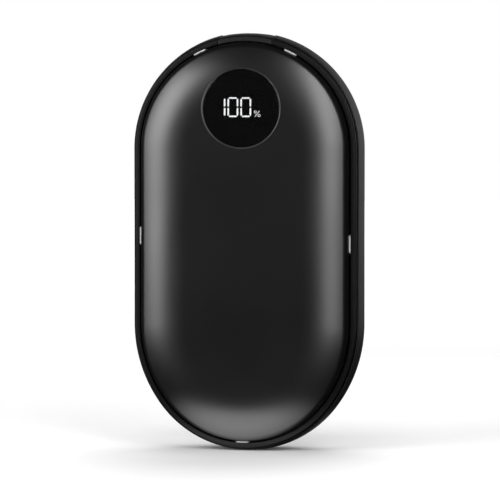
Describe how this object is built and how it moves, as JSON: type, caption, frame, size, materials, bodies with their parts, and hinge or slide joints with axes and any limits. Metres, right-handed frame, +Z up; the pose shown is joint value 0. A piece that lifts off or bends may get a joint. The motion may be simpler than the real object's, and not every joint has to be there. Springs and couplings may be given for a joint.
{
  "type": "rechargeable hand warmer",
  "caption": "Oval rechargeable hand warmer with domed metal heating panels on both faces, a slim plastic rim, a round charge display and a side push button.",
  "frame": {"origin": "middle of the flat foot that the body stands on, at the bottom centre of the bounding box", "axes": "+Z up along the body's length to the top cap, -Y out of the front panel with the display, +X to the viewer's right"},
  "size_m": [0.0556, 0.0203, 0.0997],
  "materials": {
    "panel": "fine matte black coating",
    "bezel": "satin black",
    "band": "satin black",
    "cap": "satin black",
    "clip": "bright",
    "seal": "adhesive foam",
    "frame": "moulded",
    "trim": "dark bright edge",
    "lens": "glossy, tinted black",
    "segments": "lit white",
    "module": "black",
    "circuit": "green mask",
    "spacer": "natural nylon",
    "screw": "plated",
    "ferrite": "ferrite",
    "chip": "moulded",
    "shell": "nickel-plated",
    "contact": "plated",
    "button": "satin black",
    "cell": "silver pouch",
    "lead": "insulated",
    "film": "amber film",
    "pad": "felted fibre",
    "sensor": "epoxy bead"
  },
  "bodies": {
    "root": {"front_panel": "panel", "rear_panel": "panel", "front_bezel": "bezel", "rear_bezel": "bezel", "outer_band": "band", "top_cap": "cap", "front_clips": "clip", "rear_clips": "clip", "front_seal": "seal", "rear_seal": "seal", "mid_frame": "frame", "lens_trim": "trim", "display_lens": "lens", "display_segments": "segments", "display_module": "module", "display_board": "circuit", "display_header": "module", "display_spacers": "spacer", "main_board": "circuit", "board_screws": "screw", "charge_coil": "ferrite", "board_chips": "chip", "usb_shell": "shell", "usb_tongue": "module", "usb_contacts": "contact", "switch_body": "module", "battery_cells": "cell", "cell_tabs": "clip", "protection_board": "circuit", "thermal_fuse": "contact", "battery_leads": "lead", "front_heater": "film", "rear_heater": "film", "front_pad": "pad", "rear_pad": "pad", "heater_leads": "lead", "heat_sensors": "sensor"},
    "button": {"power_button": "button", "switch_plunger": "spacer"}
  },
  "joints": [
    {"name": "button_press", "type": "slide", "parent": "root", "child": "button", "axis": [1, 0, 0], "range_m": [0, 0.00035], "stiffness_N_per_m": 4000, "springref_m": -0.0002}
  ]
}
